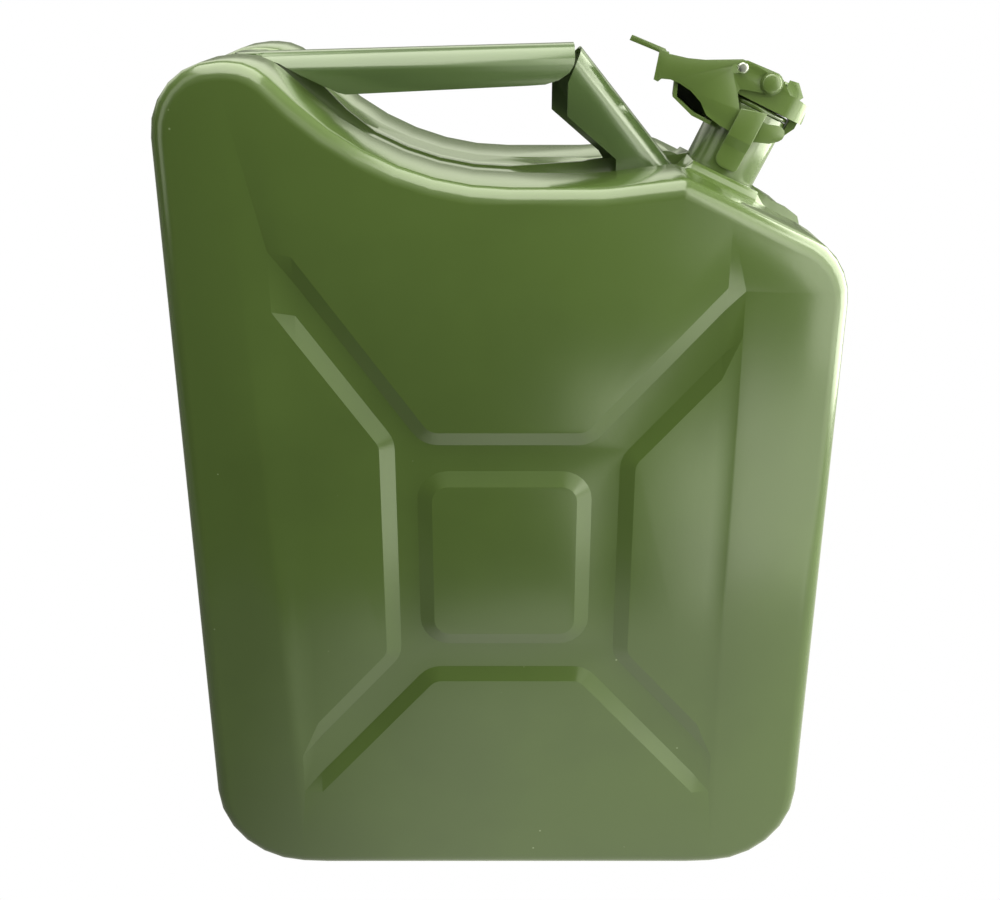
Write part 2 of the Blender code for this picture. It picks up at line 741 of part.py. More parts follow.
# Spout: everything below is in the frame of the neck

def spout_frame():
    """Two empties: one leans with the shoulder, and its child turns about the neck."""
    lean = bpy.data.objects.new("spout_lean", None)
    turn = bpy.data.objects.new("spout_turn", None)
    bpy.context.collection.objects.link(lean)
    bpy.context.collection.objects.link(turn)
    x, z, _ = slope_corner(NECK_CENTRE)
    lean.location = (x, 0, z)
    lean.rotation_euler = (0, SLOPE_ANGLE, 0)
    turn.parent = lean
    turn.rotation_euler = (0, 0, CLOSURE_YAW)
    return turn


def neck(finish, frame):
    tube = turned([(NECK_RADIUS - NECK_WALL, -NECK_DEPTH), (NECK_RADIUS, -NECK_DEPTH),
                   (NECK_RADIUS, NECK_HEIGHT), (NECK_RADIUS - NECK_WALL, NECK_HEIGHT)])
    made = add_object("filler_neck", mesh_from(tube, "filler_neck"), finish, frame)
    smooth(made)
    return made


MOUTH_TOP = NECK_HEIGHT + FIT_GAP + MOUTH_RING_HEIGHT


def mouth_ring(finish, frame):
    low = NECK_HEIGHT + FIT_GAP
    lip = MOUTH_RING_HEIGHT / 3
    ring = turned([(MOUTH_RADIUS, low), (NECK_RADIUS, low), (NECK_RADIUS, MOUTH_TOP - lip),
                   (NECK_RADIUS - lip, MOUTH_TOP), (MOUTH_RADIUS, MOUTH_TOP)])
    made = add_object("mouth_ring", mesh_from(ring, "mouth_ring"), finish, frame)
    smooth(made)
    return made


def air_pipe(finish, frame):
    centre = -(NECK_RADIUS - NECK_WALL - FIT_GAP - AIR_PIPE_RADIUS)
    inner = AIR_PIPE_RADIUS - AIR_PIPE_WALL
    pipe = turned([(inner, -AIR_PIPE_BOTTOM), (AIR_PIPE_RADIUS, -AIR_PIPE_BOTTOM),
                   (AIR_PIPE_RADIUS, AIR_PIPE_TOP), (inner, AIR_PIPE_TOP)], SMALL_SIDES)
    made = add_object("breather_pipe", mesh_from(pipe, "breather_pipe"), finish, frame,
                      (centre, 0, 0))
    smooth(made)
    return made


def catch_strap(name, finish, frame, side):
    """A strip that lies on the neck at its foot and stands off it round the lever's hook."""
    near = NECK_RADIUS + FIT_GAP
    off = CHEEK_INNER + CHEEK_SHEET + FIT_GAP * 2.5
    thick = STRAP_SHEET
    top = STRAP_TOP + STRAP_SLANT
    line = [
        (near, STRAP_FOOT), (near + thick, STRAP_FOOT),
        (near + thick, STRAP_BEND_LOW), (off + thick, STRAP_BEND_HIGH),
        (off + thick, top), (off, top), (off, STRAP_BEND_HIGH), (near, STRAP_BEND_LOW),
    ]
    bm = bmesh.new()
    half = STRAP_WIDTH / 2
    ring = [bm.verts.new((-half, side * y, w)) for y, w in line]
    face = bm.faces.new(ring)
    made = bmesh.ops.extrude_face_region(bm, geom=[face])
    moved = [item for item in made["geom"] if isinstance(item, bmesh.types.BMVert)]
    bmesh.ops.translate(bm, verts=moved, vec=(STRAP_WIDTH, 0, 0))
    made = add_object(name, mesh_from(bm, name), finish, frame)
    shape = [(-half, STRAP_FOOT, STRAP_FOOT_RADIUS), (half, STRAP_FOOT, STRAP_FOOT_RADIUS / 2),
             (half, top, 0), (-half, top - STRAP_SLANT * 2, 0)]
    low, high = sorted((side * (near - CUT_OVERRUN), side * (off + CUT_OVERRUN)))
    plan = prism(flat(rounded(shape)), low, high)
    combine(made, add_object(name + "_plan", mesh_from(plan, "plan"), None, frame), "INTERSECT")
    return made


def hinge_bracket(finish, frame):
    """Two lugs on a plate, welded to the side of the neck that faces away from the handle."""
    back = NECK_RADIUS + FIT_GAP
    drop = HINGE_W - LUG_RADIUS * 1.4
    shape = [
        (back - HINGE_U, BRACKET_LOW - HINGE_W, 0),
        (back + LUG_SHEET - HINGE_U, BRACKET_LOW - HINGE_W, 0),
        (LUG_RADIUS, drop - HINGE_W - LUG_RADIUS, 0),
        (LUG_RADIUS, LUG_RADIUS, LUG_RADIUS * 0.99),
        (-LUG_RADIUS, LUG_RADIUS, LUG_RADIUS * 0.99),
        (-LUG_RADIUS, drop - HINGE_W, 0),
        (back - HINGE_U, drop - HINGE_W - FIT_GAP, 0),
    ]
    bm = prism(flat(rounded(shape)), -LUG_HALF, LUG_HALF)
    made = add_object("hinge_bracket", mesh_from(bm, "hinge_bracket"), finish, frame,
                      (HINGE_U, 0, HINGE_W))
    inner = LUG_HALF - LUG_SHEET
    over = CUT_OVERRUN
    left = back + LUG_SHEET - HINGE_U
    loop = [(left, BRACKET_LOW - HINGE_W - over), (LUG_RADIUS + over, BRACKET_LOW - HINGE_W - over),
            (LUG_RADIUS + over, LUG_RADIUS + over), (left, LUG_RADIUS + over)]
    gap = add_object("bracket_gap", mesh_from(prism(loop, -inner, inner), "bracket_gap"), None,
                     frame, (HINGE_U, 0, HINGE_W))
    combine(made, gap, "DIFFERENCE")
    hole = rod(HINGE_PIN_RADIUS + FIT_GAP / 2, -LUG_HALF - over, LUG_HALF + over)
    bore = add_object("bracket_bore", mesh_from(hole, "bracket_bore"), None, frame,
                      (HINGE_U, 0, HINGE_W))
    combine(made, bore, "DIFFERENCE")
    return made


def hinge_pin(finish, frame):
    pin = rod(HINGE_PIN_RADIUS, -HINGE_PIN_HALF, HINGE_PIN_HALF)
    made = add_object("hinge_pin", mesh_from(pin, "hinge_pin"), finish, frame,
                      (HINGE_U, 0, HINGE_W))
    smooth(made)
    return made


CAP_LOW = MOUTH_TOP + FIT_GAP + GASKET_HEIGHT + FIT_GAP
CAP_TOP = CAP_LOW + CAP_FLANGE


def lid_gasket(finish, frame):
    low = MOUTH_TOP + FIT_GAP
    ring = turned([(GASKET_INNER, low), (GASKET_OUTER, low), (GASKET_OUTER, low + GASKET_HEIGHT),
                   (GASKET_INNER, low + GASKET_HEIGHT)])
    made = add_object("lid_gasket", mesh_from(ring, "lid_gasket"), finish, frame)
    smooth(made)
    return made


def lid_cap(finish, frame):
    plug_low = CAP_LOW - CAP_PLUG_DEPTH
    slope = CAP_PLUG_DEPTH / 4
    body = turned([(0, plug_low), (CAP_PLUG_RADIUS - slope, plug_low),
                   (CAP_PLUG_RADIUS, plug_low + slope), (CAP_PLUG_RADIUS, CAP_LOW),
                   (GASKET_OUTER, CAP_LOW), (GASKET_OUTER, CAP_TOP), (0, CAP_TOP)])
    made = add_object("lid_cap", mesh_from(body, "lid_cap"), finish, frame)
    smooth(made)
    return made


def apron_edge(rim=0):
    """The apron's left and lower edge, drawn in by rim."""
    return [
        (-APRON_LEFT + rim, APRON_LOW + (APRON_LEFT - NECK_RADIUS) * 0.55),
        (-APRON_LEFT * 0.92 + rim, APRON_LOW + (APRON_LEFT - NECK_RADIUS) * 0.17 + rim / 2),
        (-APRON_LEFT * 0.62 + rim / 4, APRON_LOW + rim),
        (-NECK_RADIUS * 0.86, APRON_LOW + rim),
    ]


def carrier_roof_line(sheet=0):
    """The carrier's top edge from its hinge end to its apron, drawn in by sheet."""
    hub = WASHER_RADIUS - sheet
    roof = CARRIER_TOP - sheet
    rim = APRON_RIM if sheet else 0
    return [
        (HINGE_U + CARRIER_END - CARRIER_END_LEAN - sheet, roof - CARRIER_END_LEAN),
        (HINGE_U - CARRIER_END, roof),
        (PIVOT_U + hub + WASHER_RADIUS, roof),
        (PIVOT_U + hub * 0.8, PIVOT_W + hub * 0.75),
        (PIVOT_U - hub * 0.8, PIVOT_W + hub * 0.75),
        (PIVOT_U - hub - HANDLE_SHEET, PIVOT_W - WASHER_RADIUS * 0.6 - sheet),
        (-APRON_LEFT * 0.6, PIVOT_W - WASHER_RADIUS - sheet),
        (-APRON_LEFT * 0.95 + rim, PIVOT_W - WASHER_RADIUS * 2.3 - sheet),
    ]


def carrier_side(sheet=0):
    """The carrier's side view, drawn in by the sheet on its top and at its rims."""
    rim = APRON_RIM if sheet else 0
    foot = [(-NECK_RADIUS * 0.78, CARRIER_LOW),
            (HINGE_U + CARRIER_END + CARRIER_END_LEAN - sheet, CARRIER_LOW)]
    return apron_edge(rim) + foot + carrier_roof_line(sheet)


def carrier_plan(sheet=0, overrun=0):
    wide = CARRIER_HALF - sheet
    radius = CARRIER_CORNER - sheet
    start = -APRON_LEFT - overrun
    end = HINGE_U + CARRIER_END + CARRIER_END_LEAN - sheet
    corners = [(start, -wide, 0), (end, -wide, radius), (end, wide, radius), (start, wide, 0)]
    return flat(rounded(corners))


def lid_carrier(finish, frame):
    outer = prism(carrier_side(), -CARRIER_HALF, CARRIER_HALF)
    made = add_object("lid_carrier", mesh_from(outer, "lid_carrier"), finish, frame)
    tall = PIVOT_W + WASHER_RADIUS + CUT_OVERRUN
    plan = prism(carrier_plan(0, CUT_OVERRUN), APRON_LOW - CUT_OVERRUN, tall, "Z")
    combine(made, add_object("carrier_plan", mesh_from(plan, "carrier_plan"), None, frame),
            "INTERSECT")
    inner = prism(carrier_side(CARRIER_SHEET), -CARRIER_HALF, CARRIER_HALF)
    hollow = add_object("carrier_hollow", mesh_from(inner, "carrier_hollow"), None, frame)
    inner_plan = prism(carrier_plan(CARRIER_SHEET, CUT_OVERRUN), APRON_LOW - CUT_OVERRUN, tall,
                       "Z")
    combine(hollow, add_object("hollow_plan", mesh_from(inner_plan, "hollow_plan"), None, frame),
            "INTERSECT")
    combine(made, hollow, "DIFFERENCE")
    open_below(made, frame)
    add_hinge_ears(made, frame)
    add_stop_tab(made, frame)
    for label, u, w, radius, half in (
        ("pivot", PIVOT_U, PIVOT_W, PIVOT_RADIUS, CARRIER_HALF + CUT_OVERRUN),
        ("hinge", HINGE_U, HINGE_W, HINGE_PIN_RADIUS, HINGE_EAR_FAR + FIT_GAP * 4),
    ):
        hole = rod(radius + FIT_GAP / 2, -half, half)
        bore = add_object("carrier_" + label + "_bore", mesh_from(hole, "bore"), None, frame,
                          (u, 0, w))
        combine(made, bore, "DIFFERENCE")
    for u in (-LID_RIVET_OFFSET, LID_RIVET_OFFSET):
        hole = rod(LID_RIVET_RADIUS + FIT_GAP, CAP_TOP, tall, SMALL_SIDES, "Z")
        bore = add_object("carrier_rivet_bore", mesh_from(hole, "bore"), None, frame, (u, 0, 0))
        combine(made, bore, "DIFFERENCE")
    return made


def open_below(made, frame):
    """Opens the carrier over the mouth, round the hinge, and along the apron's near side."""
    wide = CARRIER_HALF - CARRIER_SHEET
    left = -NECK_RADIUS - FIT_GAP * 3
    low = APRON_LOW - CUT_OVERRUN
    sill = CARRIER_LOW + FIT_GAP
    lip = HINGE_W - LUG_RADIUS + FIT_GAP
    end = HINGE_U + CARRIER_END + CARRIER_END_LEAN + CUT_OVERRUN
    bend = HINGE_U + CARRIER_END - CARRIER_CORNER
    roof = HINGE_W + LUG_RADIUS + FIT_GAP * 4
    slot = LUG_HALF + FIT_GAP * 2
    window = apron_edge(APRON_RIM)
    right, bottom = window[-1]
    window += [(right, bottom + APRON_RIM * 2), (right * 1.5, HINGE_W - APRON_RIM * 7),
               (right * 2, HINGE_W - APRON_RIM * 5.5), (window[0][0], HINGE_W - APRON_RIM * 5.2)]
    cuts = {
        "mouth_cut": ([(left, low), (bend, low), (bend, sill), (left, sill)], -wide, wide),
        "tail_cut": ([(bend - FIT_GAP, low), (end, low), (end, lip), (bend - FIT_GAP, lip)],
                     -CARRIER_TAIL_HALF, CARRIER_TAIL_HALF),
        "bracket_cut": ([(HINGE_U, low), (end, low), (end, roof), (HINGE_U, roof)], -slot, slot),
        "apron_window": (window, -CARRIER_HALF - CUT_OVERRUN, -wide + FIT_GAP),
    }
    for name, (loop, near, far) in cuts.items():
        bm = prism(loop, near, far)
        combine(made, add_object(name, mesh_from(bm, name), None, frame), "DIFFERENCE")


def add_hinge_ears(made, frame):
    """Two ears inside the carrier's tail that turn on the hinge pin beside the lugs."""
    radius = LUG_RADIUS
    half_sheet = CARRIER_SHEET / 2
    left, right = HINGE_U - radius, HINGE_U + radius
    shape = [
        (left, HINGE_W - radius, radius * 0.99),
        (right, HINGE_W - radius, radius * 0.99),
        (right, HINGE_W, 0),
        (HINGE_U + CARRIER_END - CARRIER_END_LEAN - half_sheet,
         CARRIER_TOP - CARRIER_END_LEAN - half_sheet, 0),
        (left, CARRIER_TOP - half_sheet, 0),
    ]
    for side, label in ((-1, "front"), (1, "rear")):
        near, far = sorted((side * HINGE_EAR_NEAR, side * HINGE_EAR_FAR))
        bm = prism(flat(rounded(shape)), near, far)
        ear = add_object(label + "_hinge_ear", mesh_from(bm, "hinge_ear"), None, frame)
        combine(made, ear, "UNION")


def add_stop_tab(made, frame):
    """The upright ear at the back of the carrier."""
    low = CARRIER_TOP - CARRIER_SHEET / 2
    left = STOP_TAB_U
    right = STOP_TAB_U + STOP_TAB_LENGTH
    high = CARRIER_TOP + WASHER_RADIUS * 1.3
    loop = [(left, low), (right - CARRIER_SHEET, low), (right, low + WASHER_RADIUS * 0.45),
            (left + WASHER_RADIUS * 0.85, high), (left, high - CARRIER_SHEET / 2)]
    bm = prism(loop, STOP_TAB_Y, STOP_TAB_Y + STOP_TAB_SHEET)
    combine(made, add_object("stop_tab", mesh_from(bm, "stop_tab"), None, frame), "UNION")


def carrier_roof(u):
    """Height of the carrier's top at u, between the corners of its side view."""
    top = carrier_roof_line()
    for (right, high), (left, low) in zip(top, top[1:]):
        if left <= u <= right:
            return low + (high - low) * (u - left) / (right - left)
    return CARRIER_TOP


def lid_rivet(name, finish, frame, u):
    """One of the two rivets that hold the cap under the carrier."""
    seat = max(carrier_roof(u - LID_RIVET_HEAD), carrier_roof(u + LID_RIVET_HEAD)) + FIT_GAP
    profile = [(0, CAP_TOP + FIT_GAP), (LID_RIVET_RADIUS, CAP_TOP + FIT_GAP),
               (LID_RIVET_RADIUS, seat), (LID_RIVET_HEAD, seat),
               (LID_RIVET_HEAD * 0.7, seat + LID_RIVET_HEIGHT), (0, seat + LID_RIVET_HEIGHT)]
    made = add_object(name, mesh_from(turned(profile, SMALL_SIDES), name), finish, frame,
                      (u, 0, 0))
    smooth(made)
    return made


# Lever

def arc_about(u, w, radius, start, end, steps=6):
    points = []
    for step in range(steps + 1):
        angle = start + (end - start) * step / steps
        points.append((u + radius * cos(angle), w + radius * sin(angle)))
    return points


# The cheek's edge below the pivot, as shares of its length, or its reach, and its drop
LOWER_EDGE_SHARES = ((0.967, 0.746), (0.866, 0.677), (0.773, 0.667), (0.649, 0.693),
                     (0.515, 0.789), (0.412, 0.937), (0.258, 0.99), (0.134, 1))
HOOK_LOWER_SHARES = ((0.309, 0.987), (0.727, 0.894))
HOOK_TIP_SHARE = 0.693
HOOK_UPPER_SHARES = ((0.39, 0.627), (0.237, 0.6), (-0.464, 0.604), (-0.727, 0.376),
                     (-0.709, 0.317), (-0.636, 0.294))
UPPER_EDGE_SHARES = ((0.296, -0.162), (0.454, -0.023), (0.629, 0.135), (0.794, 0.244),
                     (1.03, 0.34))


def cheek_outline():
    """One cheek about the pivot, as it lies when the lid is closed, hook and all."""
    lower = [(-LEVER_LENGTH * a, -HOOK_DROP * b) for a, b in LOWER_EDGE_SHARES]
    hook = [(HOOK_REACH * a, -HOOK_DROP * b) for a, b in HOOK_LOWER_SHARES]
    tip = arc_about(HOOK_REACH - HOOK_TIP_RADIUS, -HOOK_DROP * HOOK_TIP_SHARE, HOOK_TIP_RADIUS,
                    radians(-50), radians(110), 5)
    throat = [(HOOK_REACH * a, -HOOK_DROP * b) for a, b in HOOK_UPPER_SHARES]
    hub = arc_about(0, 0, WASHER_RADIUS + FIT_GAP, radians(-100), radians(80), 8)
    upper = [(-LEVER_LENGTH * a, -HOOK_DROP * b) for a, b in UPPER_EDGE_SHARES]
    return lower + hook + tip + throat + hub + upper


def locking_lever(finish, lever_axis):
    outer = CHEEK_INNER + CHEEK_SHEET
    outline = cheek_outline()
    made = add_object("locking_lever", mesh_from(prism(outline, -outer, -CHEEK_INNER), "cheek"),
                      finish, lever_axis)
    rear = add_object("rear_cheek", mesh_from(prism(outline, CHEEK_INNER, outer), "cheek"), None,
                      lever_axis)
    web = add_object("front_web", mesh_from(prism(web_outline(), -outer, outer), "web"), None, lever_axis)
    tab = add_object("thumb_tab", mesh_from(prism(tab_outline(), -TAB_HALF, TAB_HALF),
                                            "tab"), None, lever_axis)
    for piece in (rear, web, tab):
        combine(made, piece, "UNION")
    hole = rod(PIVOT_RADIUS + FIT_GAP, -outer - CUT_OVERRUN, outer + CUT_OVERRUN)
    combine(made, add_object("cheek_bores", mesh_from(hole, "bore"), None, lever_axis),
            "DIFFERENCE")
    reach = SLOT_TRAVEL + FIT_GAP
    radius = SAFETY_PIN_RADIUS + FIT_GAP
    slot = arc_about(0, 0, radius, -pi / 2, pi / 2) + arc_about(-reach, 0, radius, pi / 2,
                                                                 3 * pi / 2)
    turned_slot = []
    for u, w in slot:
        turned_slot.append((u * cos(SLOT_ANGLE) - w * sin(SLOT_ANGLE) - SAFETY_PIN_REACH,
                            u * sin(SLOT_ANGLE) + w * cos(SLOT_ANGLE) + SAFETY_PIN_RISE))
    bm = prism(turned_slot, -outer - CUT_OVERRUN, 0)
    combine(made, add_object("cheek_slot", mesh_from(bm, "slot"), None, lever_axis),
            "DIFFERENCE")
    return made


def web_outline():
    """The front web, seen from the side: a strip that joins the cheeks at their front ends."""
    top = (-LEVER_LENGTH * 1.035, -HOOK_DROP * 0.29)
    foot = (-LEVER_LENGTH * 0.965, -HOOK_DROP * 0.8)
    return [(top[0] - WEB_SHEET, top[1] - WEB_SHEET / 2), (foot[0] - WEB_SHEET, foot[1]),
            (foot[0], foot[1]), (foot[0] + WEB_SHEET, foot[1] + WEB_SHEET * 2),
            (top[0] + WEB_SHEET, top[1])]


def tab_outline():
    """The thumb tab, which leans up and away from the top of the web."""
    left = -LEVER_LENGTH * 1.035
    high = -HOOK_DROP * 0.27
    fall = TAB_LENGTH * 0.06
    thick = WEB_SHEET * 1.15
    return [(left - TAB_LENGTH, high - fall), (left - TAB_LENGTH, high - fall - thick),
            (left - WEB_SHEET, high - thick), (left, high - thick - WEB_SHEET / 2),
            (left + WEB_SHEET * 1.5, high - WEB_SHEET), (left, high)]


def lever_pivot(finish, frame):
    base = CHEEK_INNER + CHEEK_SHEET + FIT_GAP + WASHER_HEIGHT + FIT_GAP
    dome = base + PIVOT_HEAD_HEIGHT
    half = [(PIVOT_RADIUS, base), (PIVOT_HEAD_RADIUS, base),
            (PIVOT_HEAD_RADIUS, base + PIVOT_HEAD_HEIGHT * 0.6),
            (PIVOT_HEAD_RADIUS * 0.75, base + PIVOT_HEAD_HEIGHT * 0.92), (0, dome)]
    profile = [(radius, -height) for radius, height in reversed(half)] + half
    bm = turned(profile, SMALL_SIDES, "Y")
    made = add_object("lever_pivot", mesh_from(bm, "lever_pivot"), finish, frame,
                      (PIVOT_U, 0, PIVOT_W))
    smooth(made)
    return made


def pivot_washer(name, finish, frame, side):
    low = CHEEK_INNER + CHEEK_SHEET + FIT_GAP
    near, far = sorted((side * low, side * (low + WASHER_HEIGHT)))
    inner = PIVOT_RADIUS + FIT_GAP / 2
    ring = turned([(inner, near), (WASHER_RADIUS, near), (WASHER_RADIUS, far), (inner, far)],
                  SMALL_SIDES, "Y")
    made = add_object(name, mesh_from(ring, name), finish, frame, (PIVOT_U, 0, PIVOT_W))
    smooth(made)
    return made


def safety_pin(finish, lever_axis):
    """A headed pin that stays in the slot of the front cheek."""
    seat = CHEEK_INNER + CHEEK_SHEET + FIT_GAP
    end = seat + SAFETY_PIN_HEAD_HEIGHT
    back = CHEEK_INNER - FIT_GAP
    inner = back - SAFETY_PIN_BACK_HEIGHT
    chamfer = SAFETY_PIN_HEAD * 0.2
    profile = [(0, -end), (SAFETY_PIN_HEAD - chamfer, -end), (SAFETY_PIN_HEAD, chamfer - end),
               (SAFETY_PIN_HEAD, -seat), (SAFETY_PIN_RADIUS, -seat), (SAFETY_PIN_RADIUS, -back),
               (SAFETY_PIN_HEAD, -back), (SAFETY_PIN_HEAD, -inner), (0, -inner)]
    bm = turned(profile, SMALL_SIDES, "Y")
    made = add_object("safety_pin", mesh_from(bm, "safety_pin"), finish, lever_axis,
                      (-SAFETY_PIN_REACH, 0, SAFETY_PIN_RISE))
    smooth(made)
    return made


def build():
    clear_scene()
    enamel = material("olive_enamel", OLIVE, 0.3, 0)
    closure = material("olive_closure", OLIVE, 0.35, 0)
    zinc = material("zinc_plate", (0.75, 0.76, 0.74), 0.3, 1)
    rubber = material("black_rubber", (0.02, 0.02, 0.02), 0.7, 0)

    shells = [half_shell("front_shell", enamel, -1), half_shell("rear_shell", enamel, 1)]
    grip = handle_grip(enamel)
    handle_tongue(grip, enamel)
    combine(grip, handle_leg(enamel), "UNION")

    frame = spout_frame()
    for shell in shells:
        hole = rod(NECK_RADIUS + FIT_GAP, -NECK_RADIUS, NECK_RADIUS, ROUND_SIDES, "Z")
        bore = add_object(shell.name + "_hole", mesh_from(hole, "hole"), None, frame)
        combine(shell, bore, "DIFFERENCE")
    neck(enamel, frame)
    mouth_ring(enamel, frame)
    air_pipe(zinc, frame)
    catch_strap("front_catch_strap", closure, frame, -1)
    catch_strap("rear_catch_strap", closure, frame, 1)
    hinge_bracket(closure, frame)
    hinge_pin(zinc, frame)

    lid_gasket(rubber, frame)
    lid_cap(closure, frame)
    lid_carrier(closure, frame)
    lid_rivet("left_lid_rivet", closure, frame, -LID_RIVET_OFFSET)
    lid_rivet("right_lid_rivet", closure, frame, LID_RIVET_OFFSET)
    lever_pivot(closure, frame)
    pivot_washer("front_pivot_washer", closure, frame, -1)
    pivot_washer("rear_pivot_washer", closure, frame, 1)

    lever_axis = bpy.data.objects.new("lever_axis", None)
    bpy.context.collection.objects.link(lever_axis)
    lever_axis.parent = frame
    lever_axis.location = (PIVOT_U, 0, PIVOT_W)
    locking_lever(closure, lever_axis)
    safety_pin(zinc, lever_axis)


build()
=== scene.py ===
"""Looks of the pressed-steel fuel can: refined pieces, materials, light and camera."""
import json
from math import radians

import bpy
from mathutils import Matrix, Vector

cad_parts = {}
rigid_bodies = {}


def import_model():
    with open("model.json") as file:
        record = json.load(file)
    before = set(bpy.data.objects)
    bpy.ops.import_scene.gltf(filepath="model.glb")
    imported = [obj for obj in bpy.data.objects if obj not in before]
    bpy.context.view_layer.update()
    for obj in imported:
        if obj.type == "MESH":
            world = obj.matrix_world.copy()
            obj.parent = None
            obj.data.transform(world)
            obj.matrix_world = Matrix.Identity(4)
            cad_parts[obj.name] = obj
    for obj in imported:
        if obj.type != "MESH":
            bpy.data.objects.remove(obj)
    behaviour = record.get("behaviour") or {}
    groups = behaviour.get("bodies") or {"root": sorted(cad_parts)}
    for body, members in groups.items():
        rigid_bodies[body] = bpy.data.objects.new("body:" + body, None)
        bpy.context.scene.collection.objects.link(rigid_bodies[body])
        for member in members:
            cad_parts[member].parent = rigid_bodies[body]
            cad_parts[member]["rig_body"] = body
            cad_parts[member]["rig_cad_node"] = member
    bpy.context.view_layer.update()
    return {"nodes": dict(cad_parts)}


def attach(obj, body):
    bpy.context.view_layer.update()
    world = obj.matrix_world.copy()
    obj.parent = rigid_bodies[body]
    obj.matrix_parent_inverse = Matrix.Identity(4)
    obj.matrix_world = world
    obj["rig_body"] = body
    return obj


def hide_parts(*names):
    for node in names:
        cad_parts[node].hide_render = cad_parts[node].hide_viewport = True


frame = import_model()


# Can body
# Two half shells of pressed sheet steel, welded along the flange that lies sunk in a groove
# between them. The whole can is sprayed with glossy olive enamel.

MM = 0.001
OLIVE = (0.082, 0.127, 0.031)
DUST = (0.42, 0.48, 0.3, 1)
DUST_COVER = 0.55
TONE_SWING = 0.07
GLOSS_SWING = 0.06
FINE_RIPPLE = 0.6
WIDE_RIPPLE = 0.9
PEEL_DEPTH = 0.25 * MM
MERGE_GAP = 0.005 * MM
FLAT_ANGLE = radians(0.6)


class Value:
    """A node socket that adds Math nodes when it is used in arithmetic."""

    def __init__(self, nodes, socket):
        self.nodes = nodes
        self.socket = socket

    def maths(self, operation, first, second):
        return self.nodes.node("ShaderNodeMath", {"operation": operation},
                               {0: first, 1: second})

    def __add__(self, other):
        return self.maths("ADD", self, other)

    def __radd__(self, other):
        return self.maths("ADD", other, self)

    def __sub__(self, other):
        return self.maths("SUBTRACT", self, other)

    def __rsub__(self, other):
        return self.maths("SUBTRACT", other, self)

    def __mul__(self, other):
        return self.maths("MULTIPLY", self, other)

    def __rmul__(self, other):
        return self.maths("MULTIPLY", other, self)

    def step(self, low, high):
        """A smooth rise from 0 at the low value to 1 at the high one."""
        return self.nodes.node("ShaderNodeMapRange", {"interpolation_type": "SMOOTHSTEP"},
                               {"Value": self, "From Min": low, "From Max": high})


class Nodes:
    """A node tree in which every new node comes from one method."""

    def __init__(self, tree):
        self.tree = tree

    def node(self, kind, settings=None, inputs=None, output=0):
        made = self.tree.nodes.new(kind)
        for name, value in (settings or {}).items():
            setattr(made, name, value)
        self.feed(made, inputs or {})
        return Value(self, made.outputs[output])

    def feed(self, node, inputs):
        for name, value in inputs.items():
            if isinstance(value, Value):
                self.tree.links.new(value.socket, node.inputs[name])
            else:
                node.inputs[name].default_value = value

    def blend(self, factor, first, second):
        return self.node("ShaderNodeMix", {"data_type": "RGBA"},
                         {0: factor, 6: first, 7: second}, 2)


class Material(Nodes):
    """A Principled material whose patterns lie on the piece's own coordinates."""

    def __init__(self, name, **sockets):
        self.data = bpy.data.materials.new(name)
        self.data.use_nodes = True
        super().__init__(self.data.node_tree)
        self.place = self.node("ShaderNodeTexCoord", output="Object")
        self.set(**sockets)

    def set(self, **sockets):
        named = {name.replace("_", " "): value for name, value in sockets.items()}
        self.feed(self.tree.nodes["Principled BSDF"], named)

    def noise(self, scale, detail):
        return self.node("ShaderNodeTexNoise", None,
                         {"Vector": self.place, "Scale": scale, "Detail": detail}, "Fac")

    def bump(self, height, depth, strength):
        self.set(Normal=self.node("ShaderNodeBump", None, {
            "Height": height, "Distance": depth, "Strength": strength}, "Normal"))


def enamel(name, base, roughness, peel):
    """Sprayed enamel: uneven tone and gloss, a few pale dust specks and orange peel."""
    made = Material(name, Metallic=0.0, Specular_IOR_Level=0.9, Coat_Weight=0.7,
                    Coat_Roughness=0.14)
    darker = (*[channel * (1 - TONE_SWING) for channel in base], 1)
    lighter = (*[channel * (1 + TONE_SWING) for channel in base], 1)
    colour = made.blend(made.noise(scale=9, detail=3).step(0.35, 0.65), darker, lighter)
    dots = made.node("ShaderNodeTexVoronoi", None, {"Vector": made.place, "Scale": 90},
                     "Distance")
    dusty = made.noise(scale=31, detail=2).step(0.6, 0.66)
    specks = (1 - dots.step(0.035, 0.06)) * dusty
    made.set(Base_Color=made.blend(specks * DUST_COVER, colour, DUST),
             Roughness=roughness + GLOSS_SWING * made.noise(scale=40, detail=4))
    ripple = FINE_RIPPLE * made.noise(scale=420, detail=2)
    ripple = ripple + WIDE_RIPPLE * made.noise(scale=90, detail=2)
    made.bump(ripple, PEEL_DEPTH, peel)
    return made.data


